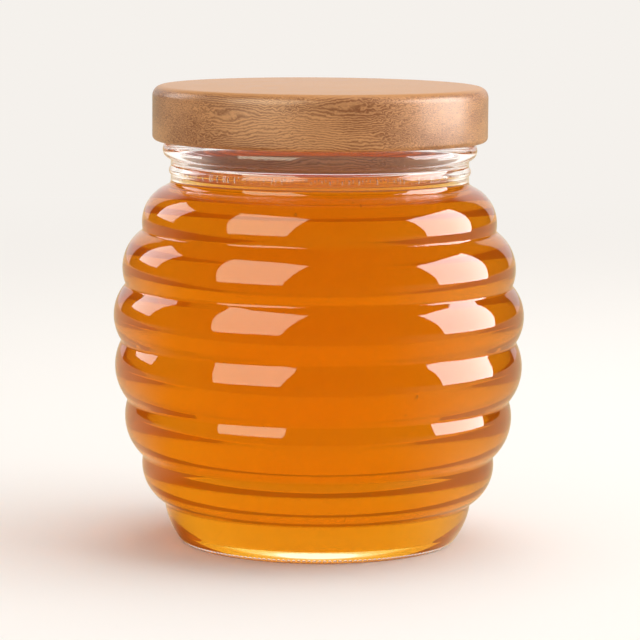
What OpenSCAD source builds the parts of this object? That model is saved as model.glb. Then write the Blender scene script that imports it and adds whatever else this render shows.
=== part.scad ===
// Ribbed honey jar: a clear glass skep-shaped jar, its honey and a turned wooden lid.
// Millimetres, +Z up. The origin is the middle of the circle that the jar stands on.

/* [Glass body] */
// Diameter across the widest groove between two ribs
groove_d = 96.7; // [84:0.1:116]
// Height at which the bowed side is widest
belly_z = 52; // [45:0.5:62]
// Diameter at the top of the heel, below the lowest rib
heel_d = 75.4; // [66:0.1:80]
// Height of the heel, from the table to the lowest rib
heel_h = 9.7; // [8:0.1:12]
// How far the heel bulges past the straight line up its side
heel_bulge = 0.8; // [0.4:0.1:1.4]
// Thickness of the glass in the side and the neck
wall_t = 2; // [1.4:0.1:2.6]
// Radius of the rounded groove between two ribs
groove_round = 0.8; // [0.4:0.1:1.4]

/* [Ribs, from the neck down] */
// Height of rib 1, under the neck
rib_1_h = 11.2; // [9:0.1:14]
// Height of rib 2
rib_2_h = 13.2; // [11:0.1:16]
// Height of rib 3
rib_3_h = 13.7; // [11:0.1:17]
// Height of rib 4, the tallest
rib_4_h = 14.5; // [12:0.1:18]
// Height of rib 5
rib_5_h = 13.7; // [11:0.1:17]
// Height of rib 6, on the heel
rib_6_h = 11.5; // [9:0.1:14]
// How far the lowest rib bulges past its two grooves
rib_bulge_low = 2.1; // [1.5:0.1:2.7]
// How far the highest rib bulges past its two grooves
rib_bulge_high = 2.6; // [1.9:0.1:3.2]

/* [Neck and rim] */
// Outer diameter of the neck
neck_d = 72.7; // [60:0.1:88]
// Height of the neck, from the top rib to the rim that carries the lid
neck_h = 10.8; // [9:0.1:14]
// Radius of the hollow curve between the neck and the top rib
shoulder_round = 1.5; // [0.8:0.1:2.2]
// How far the rounded bead at the rim stands out from the neck
bead_out = 1.95; // [1.2:0.05:3.2]
// Height of the bead
bead_h = 4.6; // [4:0.1:5.4]
// Width of the flat that is ground on top of the bead
rim_flat = 1.2; // [0.6:0.1:2]
// How far the fine ring stands out from the neck
ring_out = 0.45; // [0.3:0.05:0.8]
// Height of the fine ring itself
ring_h = 2; // [1.6:0.1:2.4]
// Height of the middle of the fine ring above the top rib
ring_up = 3.5; // [2.8:0.1:4]

/* [Foot] */
// Diameter of the jar where the heel meets the table
foot_d = 67; // [60:0.5:70]
// Radius of the rounded edge at the foot
foot_edge_r = 1.2; // [0.6:0.1:1.8]
// Width of the flat ring that the jar stands on
foot_w = 3; // [2:0.1:4]
// Height of the hollow under the base
punt_h = 1.2; // [0.6:0.1:1.8]
// Width of the sloping side of that hollow
punt_slope = 3; // [2:0.1:5]
// Thickness of the glass in the base, above the hollow
base_t = 2.2; // [1.6:0.1:5]
// Radius of the inside corner between the base and the side
base_corner_r = 3; // [2:0.5:8]

/* [Honey] */
// Height of the honey's surface above the top rib
fill_up = 4; // [2:0.1:5]
// Gap left between the honey and the glass
fill_gap = 0.05; // [0.02:0.01:0.1]

/* [Lid] */
// How far the lid overhangs the bead
lid_over = 2.55; // [1:0.05:6]
// Thickness of the lid, above the rim
lid_t = 13.3; // [9:0.1:18]
// Radius of the lid's upper edge
lid_top_r = 2.5; // [1:0.1:4]
// Radius of the lid's lower edge
lid_low_r = 1.2; // [0.5:0.1:2]
// Radial room between the lid's plug and the neck
plug_gap = 5.6; // [2:0.1:8]
// Depth of the plug below the rim
plug_h = 4.6; // [3:0.1:5]
// Chamfer round the lower edge of the plug
plug_chamfer = 0.6; // [0.2:0.1:1]

/* [Hidden] */
$fn = 96;

rib_heights = [rib_6_h, rib_5_h, rib_4_h, rib_3_h, rib_2_h, rib_1_h];
rib_count = len(rib_heights);
shoulder_z = heel_h + sum_first(rib_heights, rib_count);
rim_z = shoulder_z + neck_h;
fill_z = shoulder_z + fill_up;
base_top = punt_h + base_t;
groove_r = groove_d / 2;
neck_r = neck_d / 2;
rim_r = neck_r + bead_out;
lid_r = rim_r + lid_over;
plug_r = neck_r - wall_t - plug_gap;
bead_r = bead_h / 2;
ring_r = ring_h * ring_h / (8 * ring_out) + ring_out / 2;
foot_r = foot_d / 2;
// How far a cutting shape runs past the face that it cuts
over = 1;

// The grooves lie on two half-ellipses that meet at the belly: one ends at the neck, one at the heel
bow_up = (shoulder_z - belly_z) / sqrt(1 - pow(neck_r / groove_r, 2));
bow_down = (belly_z - heel_h) / sqrt(1 - pow(heel_d / groove_d, 2));

function sum_first(values, count) = count == 0 ? 0 : values[count - 1] + sum_first(values, count - 1);
function bow_r(z) = groove_r * sqrt(1 - pow((z - belly_z) / (z > belly_z ? bow_up : bow_down), 2));
function groove(i) = let (z = heel_h + sum_first(rib_heights, i)) [bow_r(z), z];
function bulge(i) = rib_bulge_low + (rib_bulge_high - rib_bulge_low) * i / (rib_count - 1);

// An arc from point a up to point b that stands out by s: [centre, radius]
function arc(a, b, s) =
    let (chord = norm(b - a), r = chord * chord / (8 * s) + s / 2, d = (b - a) / chord)
    [(a + b) / 2 - (r - s) * [d[1], -d[0]], r];

// Every bulge of the side, from the heel up
heel_arc = arc([foot_r, 0], groove(0), heel_bulge);
arcs = concat([heel_arc], [for (i = [0 : rib_count - 1]) arc(groove(i), groove(i + 1), bulge(i))]);
top_arc = arcs[rib_count];

// Centre of the circle of radius r that rests in the groove between two bulges
function groove_centre(low, high, r) =
    let (
        span = norm(high[0] - low[0]),
        d = (high[0] - low[0]) / span,
        reach = low[1] + r,
        along = (span * span + reach * reach - pow(high[1] + r, 2)) / (2 * span)
    )
    low[0] + along * d + sqrt(reach * reach - along * along) * [d[1], -d[0]];

// Centre of the circle that rests between the neck and the top rib
shoulder_c =
    let (r = neck_r + shoulder_round, reach = top_arc[1] + shoulder_round)
    [r, top_arc[0][1] + sqrt(pow(reach, 2) - pow(r - top_arc[0][0], 2))];

// Centre of the rounded corner where the heel, taken in by inset, meets a floor
function corner_centre(inset, corner_r, floor_z) =
    let (
        reach = heel_arc[1] - inset - corner_r,
        z = floor_z + corner_r
    )
    [heel_arc[0][0] + sqrt(reach * reach - pow(z - heel_arc[0][1], 2)), z];

// The side as a half section, taken in from the outer surface by inset
module side_half(inset, corner_r, floor_z, top_z) {
    corner = corner_centre(inset, corner_r, floor_z);
    lean = (corner - heel_arc[0]) / norm(corner - heel_arc[0]);
    neck = neck_r - inset;
    // Core that joins the middles of the bulges to the axis and laps over the heel's sector
    lap = (heel_arc[0] + corner) / 2 + norm(corner - heel_arc[0]) / 8 * [-lean[1], lean[0]];
    polygon(concat(
        [[0, floor_z], [corner[0], floor_z], corner, lap],
        [for (a = arcs) a[0]],
        [[neck, shoulder_c[1]], [neck, top_z], [0, top_z]]
    ));
    // Ribs
    for (i = [1 : rib_count])
        translate(arcs[i][0]) circle(arcs[i][1] - inset);
    // Heel, kept above the line to its rounded corner and outside the centre of its arc
    difference() {
        translate(heel_arc[0]) circle(heel_arc[1] - inset);
        polygon([
            heel_arc[0],
            heel_arc[0] + 2 * heel_arc[1] * lean,
            heel_arc[0] + 2 * heel_arc[1] * [lean[0], -lean[0]],
            heel_arc[0] - 2 * heel_arc[1] * [1, 1],
            heel_arc[0] - 2 * heel_arc[1] * [1, -1],
            heel_arc[0] + [0, 2 * heel_arc[1]]
        ]);
    }
    translate(corner) circle(corner_r);
    // Rounded grooves
    for (i = [0 : rib_count - 1]) {
        c = groove_centre(arcs[i], arcs[i + 1], groove_round);
        difference() {
            polygon([arcs[i][0], c, arcs[i + 1][0]]);
            translate(c) circle(groove_round + inset);
        }
    }
    // Hollow curve from the top rib to the neck
    difference() {
        polygon([top_arc[0], shoulder_c, [neck, shoulder_c[1]], [neck - over, shoulder_c[1]]]);
        translate(shoulder_c) circle(shoulder_round + inset);
    }
}
module inside_half(inset, top_z) {
    side_half(inset, base_corner_r, base_top + inset - wall_t, top_z);
}

module jar() color([0.86, 0.9, 0.86, 0.45]) rotate_extrude() difference() {
    union() {
        side_half(0, foot_edge_r, 0, rim_z - bead_r);
        intersection() {
            translate([rim_r - bead_r, rim_z - sqrt(pow(bead_r, 2) - pow(rim_flat / 2, 2))])
                circle(bead_r);
            square([2 * rim_r, rim_z]);
        }
        translate([neck_r + ring_out - ring_r, shoulder_z + ring_up]) circle(ring_r);
    }
    inside_half(wall_t, rim_z + over);
    // Hollow under the base
    polygon([
        [0, -over],
        [foot_r - foot_edge_r - foot_w, -over],
        [foot_r - foot_edge_r - foot_w, 0],
        [foot_r - foot_edge_r - foot_w - punt_slope, punt_h],
        [0, punt_h]
    ]);
}

module honey() color([0.84, 0.43, 0.04]) rotate_extrude() intersection() {
    inside_half(wall_t + fill_gap, rim_z);
    square([groove_d, fill_z]);
}

module lid() color([0.72, 0.5, 0.32]) rotate_extrude() {
    translate([0, rim_z + lid_low_r]) square([lid_r, lid_t - lid_low_r - lid_top_r]);
    translate([0, rim_z]) square([lid_r - lid_low_r, lid_t - lid_top_r]);
    translate([0, rim_z + lid_t / 2]) square([lid_r - lid_top_r, lid_t / 2]);
    translate([lid_r - lid_low_r, rim_z + lid_low_r]) circle(lid_low_r);
    translate([lid_r - lid_top_r, rim_z + lid_t - lid_top_r]) circle(lid_top_r);
    polygon([
        [0, rim_z - plug_h],
        [plug_r - plug_chamfer, rim_z - plug_h],
        [plug_r, rim_z - plug_h + plug_chamfer],
        [plug_r, rim_z + lid_low_r],
        [0, rim_z + lid_low_r]
    ]);
}

jar();
honey();
lid();
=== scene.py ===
# %% [markdown]
# # A ribbed honey jar
# The model that is loaded here is the jar's construction: a glass body, the honey that fills it and a
# turned wooden lid, each a plain solid in metres. This script gives them their looks. The construction
# could be dressed with materials alone, but glass and honey need walls that fit each other far more
# closely, so each piece is made again where the construction has it. Nothing of the construction moves.

# %% Load the frame
import math
import random

import bmesh
import bpy
from mathutils import Matrix, Vector


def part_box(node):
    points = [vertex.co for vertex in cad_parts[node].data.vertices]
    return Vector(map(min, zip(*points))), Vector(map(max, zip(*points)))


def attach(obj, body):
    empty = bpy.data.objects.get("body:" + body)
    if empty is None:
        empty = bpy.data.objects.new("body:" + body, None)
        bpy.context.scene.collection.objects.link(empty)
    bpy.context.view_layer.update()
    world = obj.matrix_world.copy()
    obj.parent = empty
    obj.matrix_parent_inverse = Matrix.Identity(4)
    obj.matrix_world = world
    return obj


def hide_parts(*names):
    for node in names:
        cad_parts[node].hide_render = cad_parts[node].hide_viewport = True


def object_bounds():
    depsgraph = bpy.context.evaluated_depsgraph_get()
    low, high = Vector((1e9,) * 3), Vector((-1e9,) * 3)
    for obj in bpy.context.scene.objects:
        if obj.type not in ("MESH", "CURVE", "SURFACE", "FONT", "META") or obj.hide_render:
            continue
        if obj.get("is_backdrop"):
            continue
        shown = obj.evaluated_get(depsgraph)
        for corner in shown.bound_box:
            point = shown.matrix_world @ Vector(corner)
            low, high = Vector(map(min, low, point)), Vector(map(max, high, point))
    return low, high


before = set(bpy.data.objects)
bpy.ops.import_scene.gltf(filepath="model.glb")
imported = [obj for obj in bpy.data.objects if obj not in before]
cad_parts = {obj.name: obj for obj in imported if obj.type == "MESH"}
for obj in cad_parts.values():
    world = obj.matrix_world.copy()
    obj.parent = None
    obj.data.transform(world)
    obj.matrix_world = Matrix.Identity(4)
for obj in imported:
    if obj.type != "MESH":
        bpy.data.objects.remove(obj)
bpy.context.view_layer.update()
glass_low, glass_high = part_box("jar")
lid_low, lid_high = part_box("lid")
honey_low, honey_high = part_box("honey")
solids = {"glass": (glass_low, glass_high), "honey": (honey_low, honey_high), "lid": (lid_low, lid_high)}
for name, (low, high) in solids.items():
    print(f"{name}: {1000 * (high.x - low.x):.1f} mm across, {1000 * low.z:.1f} to {1000 * high.z:.1f} mm up")

# %% [markdown]
# ## The jar's outline
# The glass is a body of revolution, so all that it needs is one good half section. It could be drawn
# as a long list of points, but a mould is made of arcs, and so is this outline: every rib is an arc
# that passes through the two grooves beside it, and every groove is a small arc that rolls between
# two ribs. Only the sizes that a mould maker would write down are given, in millimetres.

# %% Sizes of the side
MM = 0.001
GROOVE_R = 48.35
BELLY_Z = 52.0
HEEL_R, HEEL_H, HEEL_BULGE = 37.7, 9.7, 0.8
WALL = 2.0
GROOVE_ROUND = 0.8
RIB_HEIGHTS = (11.5, 13.7, 14.5, 13.7, 13.2, 11.2)
RIB_BULGE_LOW, RIB_BULGE_HIGH = 2.1, 2.6
SHOULDER_Z = HEEL_H + sum(RIB_HEIGHTS)
print(f"{len(RIB_HEIGHTS)} ribs between {HEEL_H} and {SHOULDER_Z:.1f} mm")

# %% Sizes of the neck, the foot and the base
PLUG_H = 4.6
NECK_R = 36.35
SHOULDER_ROUND = 1.5
BEAD_R, BEAD_OUT = 2.3, 38.3
RIM_FLAT = 1.2
RING_OUT, RING_H, RING_UP = 0.45, 2.0, 3.5
FOOT_R, FOOT_EDGE, FOOT_W = 33.5, 1.2, 3.0
PUNT_H, PUNT_SLOPE = 1.2, 3.0
BASE_TOP, BASE_CORNER = 3.4, 3.0
RIM_Z = lid_low.z / MM + PLUG_H
FILL_Z = honey_high.z / MM
print(f"rim at {RIM_Z:.1f} mm, honey up to {FILL_Z:.1f} mm")

# %% [markdown]
# ## Arcs that pass through points and arcs that rest on others
# An arc can be given by its centre, but nobody knows the centre of a rib by heart. It is easier to say
# where the rib starts, where it ends and how far it stands out, and to work the centre out from that.
# The groove between two ribs is found as the circle that rests against both, as a ball would.

# %% Where an arc has its centre
def bow(z):
    """Radius that the grooves lie on at height z: two half-ellipses that meet at the belly."""
    end_z, end_r = (SHOULDER_Z, NECK_R) if z > BELLY_Z else (HEEL_H, HEEL_R)
    reach = (end_z - BELLY_Z) / math.sqrt(1 - (end_r / GROOVE_R) ** 2)
    return GROOVE_R * math.sqrt(1 - ((z - BELLY_Z) / reach) ** 2)


def bulging_arc(low, high, bulge):
    """Centre and radius of the arc from low up to high that stands out by bulge."""
    chord = high - low
    radius = chord.length_squared / (8 * bulge) + bulge / 2
    outward = Vector((chord.y, -chord.x)).normalized()
    return (low + high) / 2 - (radius - bulge) * outward, radius


def resting_centre(low, high, radius):
    """Centre of the circle that rests, outside, against two bulges."""
    span = high[0] - low[0]
    along = (span.length_squared + (low[1] + radius) ** 2 - (high[1] + radius) ** 2) / (2 * span.length)
    across = math.sqrt((low[1] + radius) ** 2 - along**2)
    unit = span.normalized()
    return low[0] + along * unit + across * Vector((unit.y, -unit.x))


for name, z in (("heel", HEEL_H), ("belly", BELLY_Z), ("neck", SHOULDER_Z)):
    print(f"at the {name} the grooves lie {bow(z):.2f} mm from the axis")

# %% The heel, the ribs and the grooves
heights = [HEEL_H + sum(RIB_HEIGHTS[:i]) for i in range(len(RIB_HEIGHTS) + 1)]
grooves = [Vector((bow(z), z)) for z in heights]
last = len(RIB_HEIGHTS) - 1
bulges = [bulging_arc(Vector((FOOT_R, 0)), grooves[0], HEEL_BULGE)]
for i in range(len(RIB_HEIGHTS)):
    bulge = RIB_BULGE_LOW + (RIB_BULGE_HIGH - RIB_BULGE_LOW) * i / last
    bulges.append(bulging_arc(grooves[i], grooves[i + 1], bulge))
hollows = [resting_centre(a, b, GROOVE_ROUND) for a, b in zip(bulges, bulges[1:])]
top_c, top_r = bulges[-1]
shoulder_x = NECK_R + SHOULDER_ROUND
rise = math.sqrt((top_r + SHOULDER_ROUND) ** 2 - (shoulder_x - top_c.x) ** 2)
shoulder_c = Vector((shoulder_x, top_c.y + rise))
print(f"widest rib reaches {max(c.x + r for c, r in bulges):.1f} mm from the axis")

# %% [markdown]
# ## Drawing with a spinning point
# Blender has no arc command for a mesh, but its spin operator does the same work: one vertex that is
# spun about a centre leaves an arc of edges behind it. The outline below is drawn that way in the XZ
# plane. The whole outline is then spun once more, about the upright axis, and that makes the body.

# %% An object from a finished mesh
def finished(name, bm):
    """An object from a bmesh, smooth, at the origin."""
    for face in bm.faces:
        face.smooth = True
    mesh = bpy.data.meshes.new(name)
    bm.to_mesh(mesh)
    bm.free()
    piece = bpy.data.objects.new(name, mesh)
    bpy.context.scene.collection.objects.link(piece)
    print(f"{name}: {len(mesh.polygons)} faces, box {[round(1000 * d, 1) for d in piece.dimensions]} mm")
    return piece


# %% Drawing an outline with arcs
NEAR = 1e-7


class Outline:
    """A half section drawn in the XZ plane: straight lines, and arcs made by spinning the last point."""

    def __init__(self, r, z):
        self.bm = bmesh.new()
        self.end = self.bm.verts.new((r * MM, 0, z * MM))

    def line(self, r, z):
        point = self.bm.verts.new((r * MM, 0, z * MM))
        self.bm.edges.new((self.end, point))
        self.end = point

    def turn(self, centre, degrees, step=5.0):
        """Carries the outline round a centre; a positive angle turns from +X towards +Z."""
        steps = max(2, round(abs(degrees) / step))
        made = bmesh.ops.spin(
            self.bm, geom=[self.end], cent=(centre[0] * MM, 0, centre[1] * MM), axis=(0, -1, 0),
            angle=math.radians(degrees), steps=steps, use_merge=False,
        )
        self.end = next(v for v in made["geom_last"] if isinstance(v, bmesh.types.BMVert))

    def turn_to(self, centre, target, step=5.0, ccw=True):
        """Carries the outline round a centre until it points from there towards target."""
        here = Vector((self.end.co.x / MM - centre[0], self.end.co.z / MM - centre[1]))
        there = Vector((target[0] - centre[0], target[1] - centre[1]))
        angle = math.degrees(math.atan2(there.y, there.x) - math.atan2(here.y, here.x))
        if ccw and angle < 0:
            angle += 360
        if not ccw and angle > 0:
            angle -= 360
        self.turn(centre, angle, step)

    def spun(self, name, segments):
        """The body of revolution, closed at its poles, as a smooth mesh object."""
        bm = self.bm
        bmesh.ops.remove_doubles(bm, verts=bm.verts, dist=NEAR)
        geom = list(bm.verts) + list(bm.edges)
        bmesh.ops.spin(
            bm, geom=geom, cent=(0, 0, 0), axis=(0, 0, 1), angle=2 * math.pi, steps=segments, use_merge=True,
        )
        bmesh.ops.remove_doubles(bm, verts=bm.verts, dist=NEAR)
        bmesh.ops.recalc_face_normals(bm, faces=bm.faces)
        return finished(name, bm)


# %% [markdown]
# ## One side for three walls
# The outside of the glass, its inside and the honey all follow the same ribs, each at its own depth.
# The glass could be given its wall with a Solidify modifier, but that thins a wall at tight grooves.
# Here every wall is drawn from the same centres with a longer or shorter radius, so that all of them
# stay parallel, and the honey can be given an exact place inside the glass.

# %% The side at any depth
def corner_centre(inset, corner, floor_z):
    """Centre of the rounded corner between a floor and the heel, taken in by inset."""
    (heel_c, heel_r), z = bulges[0], floor_z + corner
    return Vector((heel_c.x + math.sqrt((heel_r - inset - corner) ** 2 - (z - heel_c.y) ** 2), z))


def side_arcs(inset, corner, floor_z):
    """(centre, where it starts, where it ends, ccw) for every arc from the floor up to the neck."""
    c = corner_centre(inset, corner, floor_z)
    heel_c = bulges[0][0]
    out = c + (c - heel_c)
    arcs = [(c, (c.x, c.y - 1), out, True), (heel_c, out, hollows[0], True)]
    for i, hollow in enumerate(hollows):
        arcs.append((hollow, bulges[i][0], bulges[i + 1][0], False))
        above = hollows[i + 1] if i + 1 < len(hollows) else shoulder_c
        arcs.append((bulges[i + 1][0], hollow, above, True))
    arcs.append((shoulder_c, top_c, (0, shoulder_c.y), False))
    return arcs


outer = side_arcs(0, FOOT_EDGE, 0)
inner = side_arcs(WALL, BASE_CORNER, BASE_TOP)
print(f"{len(outer)} arcs outside, {len(inner)} inside")

# %% How finely each arc is cut
SEGMENTS = 256
RIB_STEP, HOLLOW_STEP = 5.0, 12.0


def steps_of(arc):
    """Degrees from one point of an arc to the next; the tight hollows take longer steps than the ribs."""
    return RIB_STEP if arc[3] else HOLLOW_STEP


print(f"{SEGMENTS} segments round the jar, {360 / SEGMENTS:.2f} degrees each")

# %% Rounding a corner between two lines
def rounded_corner(outline, corner, beyond, radius, step=15.0):
    """Carries the outline to a corner, rounds it by radius and points it at what lies beyond."""
    here = Vector((outline.end.co.x, outline.end.co.z)) / MM
    corner, beyond = Vector(corner), Vector(beyond)
    before, after = (corner - here).normalized(), (beyond - corner).normalized()
    angle = math.atan2(before.x * after.y - before.y * after.x, before.dot(after))
    start = corner - before * radius * math.tan(abs(angle) / 2)
    side = math.copysign(radius, angle)
    outline.line(*start)
    outline.turn(start + side * Vector((-before.y, before.x)), math.degrees(angle), step)


# %% [markdown]
# ## The glass body
# The real jar is blown into a mould, and its rim is ground flat where the lid rests. Its outline goes
# once round the glass: from the hollow under the base, over the foot and up the ribs, round the bead,
# and down the inside to the middle of the base. As a closed wall it bends light twice, as glass does.

# %% The foot and the outside of the glass
PUNT_ROUND, FOOT_ROUND = 1.0, 0.5
flat_r = FOOT_R - FOOT_EDGE - FOOT_W
outline = Outline(0, PUNT_H)
rounded_corner(outline, (flat_r - PUNT_SLOPE, PUNT_H), (flat_r, 0), PUNT_ROUND)
rounded_corner(outline, (flat_r, 0), (FOOT_R, 0), FOOT_ROUND)
outline.line(outer[0][0].x, 0)
for arc in outer:
    outline.turn_to(arc[0], arc[2], steps_of(arc), arc[3])
print(f"the jar stands on a ring from {flat_r:.1f} to {outer[0][0].x:.1f} mm")

# %% The fine ring and the bead
BEAD_STEP, RIM_ROUND = 10, 0.6
ring_r = RING_H**2 / (8 * RING_OUT) + RING_OUT / 2
ring_c = Vector((NECK_R + RING_OUT - ring_r, SHOULDER_Z + RING_UP))
half = math.degrees(math.asin(RING_H / 2 / ring_r))
outline.line(NECK_R, ring_c.y - RING_H / 2)
outline.turn(ring_c, 2 * half, half / 3)
bead_c = Vector((BEAD_OUT - BEAD_R, RIM_Z - math.sqrt(BEAD_R**2 - (RIM_FLAT / 2) ** 2)))
under = math.degrees(math.acos((NECK_R - bead_c.x) / BEAD_R))
over = math.degrees(math.acos(RIM_FLAT / 2 / BEAD_R))
outline.line(NECK_R, bead_c.y - BEAD_R * math.sin(math.radians(under)))
outline.turn(bead_c, under + over, BEAD_STEP)
rounded_corner(outline, (NECK_R - WALL, RIM_Z), (NECK_R - WALL, 0), RIM_ROUND)
print(f"ring of radius {ring_r:.2f} mm, bead turned through {under + over:.0f} degrees")

# %% The inside of the glass
outline.line(NECK_R - WALL, shoulder_c.y)
for arc in reversed(inner):
    outline.turn_to(arc[0], arc[1], steps_of(arc), not arc[3])
outline.line(0, BASE_TOP)
glass = outline.spun("glass_body", SEGMENTS)

# %% [markdown]
# ## The honey
# Honey touches the glass everywhere. A body that stops just short of the wall leaves a film of air,
# which would shine like a second surface, so this one sinks a little way into the glass. At its edge
# the honey climbs the wall in a small curve, the meniscus.

# %% Honey
SINK = 0.15
MENISCUS = 1.2
MENISCUS_STEP = 15
honey_arcs = side_arcs(WALL - SINK, BASE_CORNER + SINK, BASE_TOP - SINK)
outline = Outline(0, BASE_TOP - SINK)
outline.line(honey_arcs[0][0].x, BASE_TOP - SINK)
for arc in honey_arcs:
    outline.turn_to(arc[0], arc[2], steps_of(arc), arc[3])
wall_r = NECK_R - WALL + SINK
outline.line(wall_r, FILL_Z + MENISCUS)
outline.line(wall_r - SINK, FILL_Z + MENISCUS)
outline.turn((wall_r - SINK - MENISCUS, FILL_Z + MENISCUS), -90, MENISCUS_STEP)
outline.line(0, FILL_Z)
honey = outline.spun("honey_fill", SEGMENTS)

# %% [markdown]
# ## The lid
# The lid is one piece of wood, turned on a lathe: a flat disc with eased edges, and a plug that centres
# it in the neck. A lathe works just as spin does, so its outline is five lines, and three of the
# corners between them are rounded.

# %% Lid
LID_R, LID_TOP = lid_high.x / MM, lid_high.z / MM
LID_TOP_R, LID_LOW_R = 2.5, 1.2
PLUG_R, PLUG_ROUND = 28.75, 0.6
LID_STEP = 7.5
outline = Outline(0, RIM_Z - PLUG_H)
rounded_corner(outline, (PLUG_R, RIM_Z - PLUG_H), (PLUG_R, RIM_Z), PLUG_ROUND)
outline.line(PLUG_R, RIM_Z)
rounded_corner(outline, (LID_R, RIM_Z), (LID_R, LID_TOP), LID_LOW_R)
rounded_corner(outline, (LID_R, LID_TOP), (0, LID_TOP), LID_TOP_R, LID_STEP)
outline.line(0, LID_TOP)
lid = outline.spun("lid_wood", SEGMENTS)

# %% [markdown]
# ## Arithmetic for materials
# A material is a tree of nodes. It could be wired by hand, link by link, but a pattern is easier to
# read as a formula. The class below wraps a socket, and Python's own signs then add the Math nodes:
# `1 - mask` makes the nodes that take a mask from one.

# %% Numbers inside a material
def connect(tree, slot, item):
    """Links a Value to a socket, or sets the socket to a plain value."""
    if isinstance(item, Value):
        tree.links.new(item.socket, slot)
    else:
        slot.default_value = item


class Value:
    """A number inside a material: a socket that Python's own arithmetic works on."""

    def __init__(self, tree, socket):
        self.tree, self.socket = tree, socket

    def math(self, operation, *others):
        node = self.tree.nodes.new("ShaderNodeMath")
        node.operation = operation
        for slot, item in zip(node.inputs, (self, *others)):
            connect(self.tree, slot, item)
        return Value(self.tree, node.outputs[0])

    def __add__(self, other):
        return self.math("ADD", other)

    def __sub__(self, other):
        return self.math("SUBTRACT", other)

    def __rsub__(self, other):
        return (self * -1) + other

    def __mul__(self, other):
        return self.math("MULTIPLY", other)

    __radd__, __rmul__ = __add__, __mul__

    def smooth(self, low, high):
        """0 below low, 1 above high and a soft step between (low may be the larger)."""
        node = self.tree.nodes.new("ShaderNodeMapRange")
        node.interpolation_type = "SMOOTHSTEP"
        for slot, item in zip(node.inputs, (self, low, high)):
            connect(self.tree, slot, item)
        return Value(self.tree, node.outputs[0])


# %% Any other node
class Nodes:
    """The node tree of one material or world."""

    def __init__(self, owner):
        owner.use_nodes = True
        self.tree = owner.node_tree
        self.tree.nodes.clear()

    def add(self, kind, inputs=(), output=0, **settings):
        """A node with its settings, then its inputs by name or place, as one of its outputs."""
        node = self.tree.nodes.new(kind)
        for name, value in settings.items():
            setattr(node, name, value)
        for name, item in dict(inputs).items():
            connect(self.tree, node.inputs[name], item)
        return Value(self.tree, node.outputs[output]) if node.outputs else None

    def mix(self, factor, a, b):
        """Two colours mixed by a factor."""
        return self.add("ShaderNodeMix", {0: factor, 6: a, 7: b}, 2, data_type="RGBA")

    def split(self, vector):
        """The three parts of a vector."""
        node = self.add("ShaderNodeSeparateXYZ", {0: vector}).socket.node
        return [Value(self.tree, socket) for socket in node.outputs]


# %% [markdown]
# ## Clear glass
# Light bends where it passes from one stuff into another, by the ratio of their indices. Glass against
# air has a ratio of 1.5, but glass against honey has one of almost 1, which is why a wet wall hardly
# shows. A single glass material would give false reflections inside the honey, so the faces that the
# honey touches get a second one, with the ratio of glass to honey.

# %% Clear materials
GLASS_IOR, HONEY_IOR = 1.5, 1.49
WHITE = (1, 1, 1, 1)


def clear_material(name, ior):
    """A smooth clear material, and the node tree that more can be added to."""
    material = bpy.data.materials.new(name)
    n = Nodes(material)
    shader = n.add("ShaderNodeBsdfPrincipled", {
        "Base Color": WHITE, "Roughness": 0.0, "IOR": ior, "Transmission Weight": 1.0,
    })
    n.add("ShaderNodeOutputMaterial", {"Surface": shader})
    return material, n


glass_dry, _ = clear_material("clear_glass", GLASS_IOR)
glass_wet, _ = clear_material("glass_under_honey", GLASS_IOR / HONEY_IOR)
print(f"glass against air {GLASS_IOR}, glass against honey {GLASS_IOR / HONEY_IOR:.4f}")

# %% Which faces of the glass are wet
SLACK = 0.01
LEVEL_ENOUGH, BASE_REACH = 0.9, 34
glass.data.materials.append(glass_dry)
glass.data.materials.append(glass_wet)
for poly in glass.data.polygons:
    c = poly.center / MM
    inward = poly.normal.x * c.x + poly.normal.y * c.y < 0
    floor_of_glass = poly.normal.z > LEVEL_ENOUGH and c.xy.length < BASE_REACH
    if BASE_TOP - SLACK < c.z < FILL_Z + MENISCUS and (inward or floor_of_glass):
        poly.material_index = 1
print(sum(p.material_index for p in glass.data.polygons), "faces of the glass are wet")

# %% [markdown]
# ## Honey colour
# Honey has no coloured surface: light is coloured on its way through it, more with every millimetre.
# A base colour would make it look like painted plastic, so the colour is in an absorbing volume. Blue
# is taken first and green later, which makes thin honey yellow and thick honey amber. The side has no
# bending of its own, as the wet glass has done that, and the open surface bends as honey in air.

# %% Honey material
HONEY_DENSITY = 85.0
HONEY_COLOUR = (0.948, 0.752, 0.035)
FACES_UP = 0.3
for name, ior in (("honey_in_glass", 1.0), ("honey_surface", HONEY_IOR)):
    honey_material, n = clear_material(name, ior)
    volume = n.add("ShaderNodeVolumeAbsorption", {"Color": (*HONEY_COLOUR, 1), "Density": HONEY_DENSITY})
    out = next(node for node in n.tree.nodes if node.type == "OUTPUT_MATERIAL")
    n.tree.links.new(volume.socket, out.inputs["Volume"])
    honey.data.materials.append(honey_material)
for poly in honey.data.polygons:
    if poly.center.z / MM > FILL_Z - SLACK and poly.normal.z > FACES_UP:
        poly.material_index = 1
print(sum(p.material_index for p in honey.data.polygons), "faces of the honey are open to the air")

# %% [markdown]
# ## A cloud of pollen in the honey
# Honey is never quite clear: pollen and fine air soften what is seen through it. The honey's own volume
# could scatter light as well, but that would mix two jobs in one material. A second body that lies a
# little way inside the honey carries the scattering alone, and its surface can't be seen.

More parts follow.
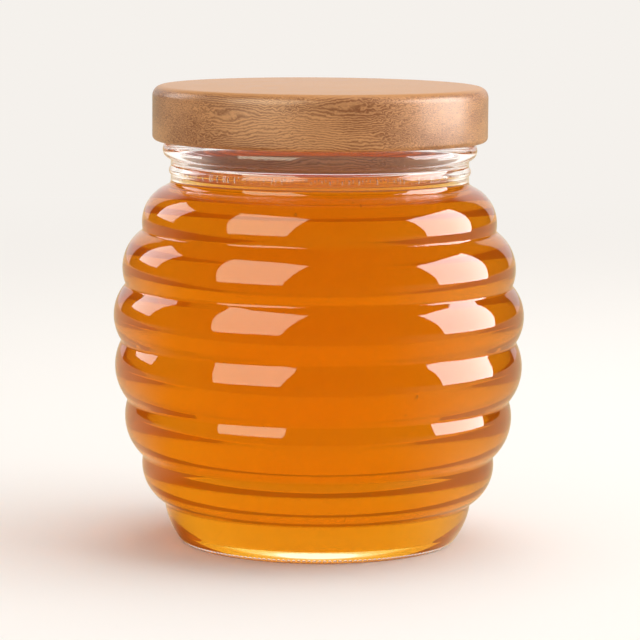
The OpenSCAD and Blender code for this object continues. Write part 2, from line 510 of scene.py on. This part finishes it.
# %% Cloud of pollen
HAZE_IN = 0.4
HAZE_SEGMENTS = 96
haze_arcs = side_arcs(WALL + HAZE_IN, BASE_CORNER - HAZE_IN, BASE_TOP + HAZE_IN)
outline = Outline(0, BASE_TOP + HAZE_IN)
outline.line(haze_arcs[0][0].x, BASE_TOP + HAZE_IN)
for arc in haze_arcs:
    outline.turn_to(arc[0], arc[2], 2 * steps_of(arc), arc[3])
outline.line(NECK_R - WALL - HAZE_IN, FILL_Z - HAZE_IN)
outline.line(0, FILL_Z - HAZE_IN)
haze = outline.spun("honey_haze", HAZE_SEGMENTS)

# %% Material of the cloud
haze_material = bpy.data.materials.new("honey_haze")
n = Nodes(haze_material)
clear = n.add("ShaderNodeBsdfTransparent", {"Color": WHITE})
scatter = n.add("ShaderNodeVolumeScatter", {"Color": (1, 0.85, 0.4, 1), "Density": 12.0, "Anisotropy": 0.75})
n.add("ShaderNodeOutputMaterial", {"Surface": clear, "Volume": scatter})
haze.data.materials.append(haze_material)
print("the cloud scatters light mostly forwards")

# %% [markdown]
# ## Bubbles
# Air rises through honey very slowly. The smallest bubbles gather under its edge in a broken row, and a
# few are still on their way up. A texture of spots would stay flat, so each bubble is a real little
# ball, and its ratio is turned round, because light goes from honey into air. The draw is seeded, so
# that every run gives the same bubbles.

# %% One small ball
def small_ball(bm, radius, r, turn, z, shape=Matrix.Identity(4)):
    """A ball of 80 faces at a radius, an angle and a height, in millimetres and radians."""
    place = Matrix.Translation(Vector((r * math.cos(turn), r * math.sin(turn), z)) * MM) @ shape
    bmesh.ops.create_icosphere(bm, subdivisions=2, radius=radius * MM, matrix=place)


# %% Bubbles under the edge and in the honey
RING_BUBBLES, MISSING = 250, 0.18
LOOSE_BUBBLES = 34
bubble_material, _ = clear_material("air_bubble", 1 / HONEY_IOR)
random.seed(7)
bm = bmesh.new()
for i in range(RING_BUBBLES):
    if random.random() < MISSING:
        continue
    turn = math.tau * (i + 0.6 * random.random()) / RING_BUBBLES
    size = random.uniform(0.10, 0.24)
    z = FILL_Z - 0.35 - size - random.uniform(0, 0.25)
    small_ball(bm, size, NECK_R - WALL - 0.1 - size * 1.1, turn, z)
for i in range(LOOSE_BUBBLES):
    z = FILL_Z - 6 - 66 * random.random() ** 2
    turn, size = math.tau * random.random(), random.uniform(0.14, 0.34)
    small_ball(bm, size, (bow(z) - WALL) * random.uniform(0.86, 0.97), turn, z)
bubbles = finished("honey_bubbles", bm)
bubbles.data.materials.append(bubble_material)

# %% [markdown]
# ## Beads under the foot
# Many jars have a row of small raised beads on the ring that they stand on, which keeps the hot glass
# off a cold table. They catch the light as a fine broken line. A bump map would not change the outline
# of the foot, so each bead is a small ball, drawn out a little across the ring.

# %% Beads
BEADS, BEAD_SIZE, BEAD_IN = 170, 0.62, 0.75
stretch = Matrix.Diagonal((1.25, 0.8, 1, 1))
bm = bmesh.new()
for i in range(BEADS):
    turn = math.tau * i / BEADS
    small_ball(bm, BEAD_SIZE, FOOT_R - BEAD_IN, turn, BEAD_SIZE, Matrix.Rotation(turn, 4, "Z") @ stretch)
knurl = finished("foot_beads", bm)
knurl.data.materials.append(glass_dry)

# %% [markdown]
# ## Wood
# The lid's side shows fine lines that lie almost level and break into swirls here and there, as the
# lathe cuts across the grain. An image would have an edge where it wraps round, so the figure is worked
# out from the lid's own coordinates: level lines by height, bent by a noise that is strong in some
# places and weak in others. The same figure drives colour, shine and relief, as it does in real wood.

# %% Noise in the wood
wood = bpy.data.materials.new("lid_wood")
n = Nodes(wood)
place = n.add("ShaderNodeTexCoord", output=3)


def noise(scale, detail=2.0, stretch=(1, 1, 1), distortion=0.0):
    """Noise of the object's own coordinates, in cells per metre, drawn out along an axis by stretch."""
    mapped = n.add("ShaderNodeMapping", {0: place, "Scale": stretch})
    return n.add("ShaderNodeTexNoise", {
        "Vector": mapped, "Scale": scale, "Detail": detail, "Distortion": distortion,
    })


# %% Lines and swirls
LINES_PER_METRE = 1600
STRAIGHT, SWIRLED = 1.2, 7
z = n.split(place)[2]
swirl_zone = noise(26, 1).smooth(0.42, 0.58)
wander = noise(520, 2, (1, 1, 1.5), 0.8) - 0.5
drift = noise(45, 2, (1, 1, 3)) - 0.5
figure = z * LINES_PER_METRE + drift * 10 + wander * (swirl_zone * SWIRLED + STRAIGHT)
lines = (figure * math.tau).math("SINE") * 0.5 + 0.5
fine = noise(1500, 3, (1, 1, 3))
tone = noise(60, 3, (1, 1, 2.5)).smooth(0.3, 0.7)
depth = lines * 0.5 + fine.smooth(0.35, 0.7) * 0.2 + tone * 0.3
print(f"a line every {1000 / LINES_PER_METRE:.2f} mm")

# %% Colour and finish of the wood, with painted light on the flat top
LIGHT_WOOD, DARK_WOOD = (0.70, 0.32, 0.105, 1), (0.27, 0.080, 0.013, 1)
FADE_LOW, FADE_HIGH, TOP_LIGHT_PAINTED = 0.1106, 0.1114, 0.85
# Painted light: the flat top is coloured lighter and plainer, standing in for strong light and sheen from
# above
painted_top_light = z.smooth(FADE_LOW, FADE_HIGH)
colour = n.mix(depth.smooth(1.0, -0.05) * (1 - painted_top_light * TOP_LIGHT_PAINTED), LIGHT_WOOD, DARK_WOOD)
relief = n.add("ShaderNodeBump", {"Height": lines * 0.5 + fine * 0.5, "Strength": 0.25, "Distance": 0.0001})
shader = n.add("ShaderNodeBsdfPrincipled", {
    "Base Color": colour, "Roughness": lines * 0.06 + 0.42, "Normal": relief,
    "Coat Weight": 0.35, "Coat Roughness": 0.22,
})
n.add("ShaderNodeOutputMaterial", {"Surface": shader})
lid.data.materials.append(wood)
print(f"the figure fades on the flat top to {1 - TOP_LIGHT_PAINTED:.2f} of its strength")

# %% [markdown]
# ## The studio
# Glass shows its surroundings more than itself. In a real studio, a pale backdrop lights the honey from
# behind, dark cards give the glass its edges, and a few softboxes make the bright reflections. One
# room can't be all of that without a long search for places, so here each kind of ray sees a room of
# its own: matt wood sees an even light, a look through the honey sees a bright backdrop, and a mirror
# reflection sees a dark room with one bright backdrop and softboxes.

# %% Tones of the room
CAMERA_TONE = (0.913, 0.880, 0.840)
THROUGH_GLASS, ON_MATT, AT_THE_SIDES = 1.6, 0.66, 0.95
MIRRORED_DARK = 0.02
BACKDROP_HALF = 33.0
DEGREES = 180 / math.pi
print(f"backdrop {2 * BACKDROP_HALF:.0f} degrees wide")

# %% Which ray is asking, and from where
def seen_by(n, kind):
    """1 for rays of that kind, 0 for the others."""
    return n.add("ShaderNodeLightPath", output="Is " + kind + " Ray")


def mirrored_only(n):
    """1 for true reflections; a look through glass counts as glossy too, so it is taken out."""
    return seen_by(n, "Glossy") * (1 - seen_by(n, "Transmission"))


def angle_behind(x, y):
    """Degrees about the jar, 0 straight behind it and 180 towards the camera."""
    return x.math("ARCTAN2", y).math("ABSOLUTE") * DEGREES


# %% The world round the jar
world = bpy.data.worlds.new("studio")
bpy.context.scene.world = world
n = Nodes(world)
x, y, z = n.split(n.add("ShaderNodeTexCoord"))
angle = angle_behind(x, y)
backdrop = angle.smooth(BACKDROP_HALF + 1, BACKDROP_HALF - 1) * z.smooth(0.62, 0.42)
mirrored = backdrop * (1 - MIRRORED_DARK) + MIRRORED_DARK
beside = angle.smooth(35, 75) * z.smooth(0.7, 0.4)
through = beside * (AT_THE_SIDES - THROUGH_GLASS) + THROUGH_GLASS
strength = seen_by(n, "Camera") + seen_by(n, "Diffuse") * ON_MATT + seen_by(n, "Transmission") * through
strength = strength + mirrored_only(n) * mirrored
background = n.add("ShaderNodeBackground", {"Color": (*CAMERA_TONE, 1), "Strength": strength})
n.add("ShaderNodeOutputWorld", {"Surface": background})
print(f"a look through glass meets {THROUGH_GLASS} behind the jar and {AT_THE_SIDES} beside it")

# %% [markdown]
# ## The floor
# The jar stands on pale paper that runs off into the backdrop without a line. The paper is matt close
# to the jar, so that shadows and the warm light through the honey fall on it, and turns into an even
# tone further off. Seen through the honey it is brighter, and in a reflection it shows a painted warm
# light, which is dimmer towards the camera. A single plain material would be simpler, but it can't be all
# three at once.

# %% Floor and its paper
bm = bmesh.new()
bmesh.ops.create_circle(bm, cap_ends=True, segments=96, radius=7.0)
floor = finished("floor", bm)
paper = bpy.data.materials.new("paper")
n = Nodes(paper)
x, y, z = n.split(n.add("ShaderNodeTexCoord", output=3))
away = (x * x + y * y).math("SQRT").smooth(0.15, 0.95)
lit = n.add("ShaderNodeBsdfDiffuse", {"Color": (0.95, 0.925, 0.895, 1)})
sweep = n.add("ShaderNodeEmission", {"Color": (*CAMERA_TONE, 1)})
shade = n.add("ShaderNodeMixShader", {0: away, 1: lit, 2: sweep})

# %% How the paper looks through honey and in reflections
FLOOR_THROUGH = 0.78 * THROUGH_GLASS
through = n.add("ShaderNodeEmission", {"Color": (*CAMERA_TONE, 1), "Strength": FLOOR_THROUGH})
shade = n.add("ShaderNodeMixShader", {0: seen_by(n, "Transmission") * 0.92, 1: shade, 2: through})
# Painted light in reflections: a warm glow that stands in for bounced light, dimmer towards the camera
right = x.smooth(-0.02, 0.02)
from_front = angle_behind(x, y).smooth(right * 45 + 105, right * 35 + 60)
painted_warm_light = {"Color": (0.95, 0.80, 0.52, 1), "Strength": from_front * 0.75 + 0.05}
mirror = n.add("ShaderNodeEmission", painted_warm_light)
shade = n.add("ShaderNodeMixShader", {0: mirrored_only(n), 1: shade, 2: mirror})
n.add("ShaderNodeOutputMaterial", {"Surface": shade})
floor.data.materials.append(paper)
print(f"floor seen through honey: {FLOOR_THROUGH:.2f}")

# %% [markdown]
# ## Softboxes
# The four-sided reflections in the ribs are softboxes. A lamp that is placed for a good reflection is
# seldom the one that lights the wood well, so the two jobs are split: some lamps show only in glass,
# and others light only what is matt. The glow from the right is met only by light that has passed
# through glass or honey.

# %% A softbox
MIDDLE_Z = 0.055


def softbox(name, azimuth, elevation, distance, width, height, brightness, mirrored, colour=(1, 1, 1)):
    """An area light that looks at the jar; azimuth 0 is the camera's side, +90 is its right.

    A mirrored one only shows in glossy and clear surfaces, any other only lights matt ones."""
    a, e = math.radians(azimuth), math.radians(elevation)
    place = Vector((math.sin(a) * math.cos(e), -math.cos(a) * math.cos(e), math.sin(e))) * distance
    data = bpy.data.lights.new(name, "AREA")
    data.shape, data.size, data.size_y = "RECTANGLE", width, height
    data.energy, data.color = brightness * math.pi * width * height, colour
    light = bpy.data.objects.new(name, data)
    light.location = place + Vector((0, 0, MIDDLE_Z))
    light.rotation_euler = place.to_track_quat("Z", "Y").to_euler()
    light.visible_camera = False
    light.visible_diffuse = not mirrored
    light.visible_glossy = mirrored
    light.visible_transmission = light.visible_volume_scatter = False
    bpy.context.scene.collection.objects.link(light)
    print(f"{name}: {data.energy:.1f} W")
    return light


# %% The lamps
softbox("front_left", -40, 30, 1.1, 0.86, 1.1, 5.5, True, (1, 0.97, 0.74))
softbox("right", 92, 18, 1.0, 0.8, 0.85, 9.5, True)
softbox("left", -120, 24, 1.2, 0.5, 0.6, 3.8, True)
glow = softbox("right_glow", 92, 18, 1.0, 0.8, 0.85, 16, True, (1, 0.96, 0.8))
glow.visible_glossy = False
glow.visible_transmission = True
softbox("right_fill", 80, 45, 1.1, 0.9, 0.9, 1.7, False)
softbox("top_fill", 150, 75, 1.2, 0.9, 0.9, 2.2, False)

# %% [markdown]
# ## The camera
# A long lens from a little above keeps the jar's sides almost parallel. Light that passes through a
# ribbed jar meets many walls, so it is allowed many bounces: with too few, thick parts turn dark.

# %% Camera
# How far it looks down is in radians and its roll is in degrees
LOOK_DOWN, ROLL = 0.12562, 0.42
BOUNCES = 40
camera_data = bpy.data.cameras.new("camera")
camera_data.lens, camera_data.sensor_width = 184.9, 36.0
camera_data.clip_end = 20
camera = bpy.data.objects.new("camera", camera_data)
camera.location = (0.0003, -0.8002, 0.1552)
tilted = Matrix.Rotation(math.pi / 2 - LOOK_DOWN, 4, "X") @ Matrix.Rotation(math.radians(ROLL), 4, "Z")
camera.rotation_euler = tilted.to_euler()
bpy.context.scene.collection.objects.link(camera)
bpy.context.scene.camera = camera
print(f"lens {camera_data.lens} mm, {camera.location.length:.2f} m away")

# %% Colours as they are, and enough bounces
bpy.context.scene.view_settings.view_transform = "Standard"
light_paths = bpy.context.scene.cycles
light_paths.max_bounces = light_paths.transmission_bounces = light_paths.glossy_bounces = BOUNCES
light_paths.volume_bounces = light_paths.transparent_max_bounces = BOUNCES
print(f"{light_paths.max_bounces} bounces")

# %% [markdown]
# ## Tying the looks to the construction
# Every piece rides on the jar's one body. The glass, the honey and the lid each take the place of one
# solid of the construction, and the small pieces are added to them. The floor is only part of the stage.

# %% Ride, replace and measure
for piece, node, slot in ((glass, "jar", "glass"), (honey, "honey", "honey"), (lid, "lid", "wood")):
    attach(piece, "root")
    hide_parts(node)
for piece, slot in ((haze, "honey"), (bubbles, "honey"), (knurl, "glass")):
    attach(piece, "root")
floor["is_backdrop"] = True
low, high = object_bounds()
print("finished box, mm:", [round(1000 * v, 2) for v in (*low, *high)])
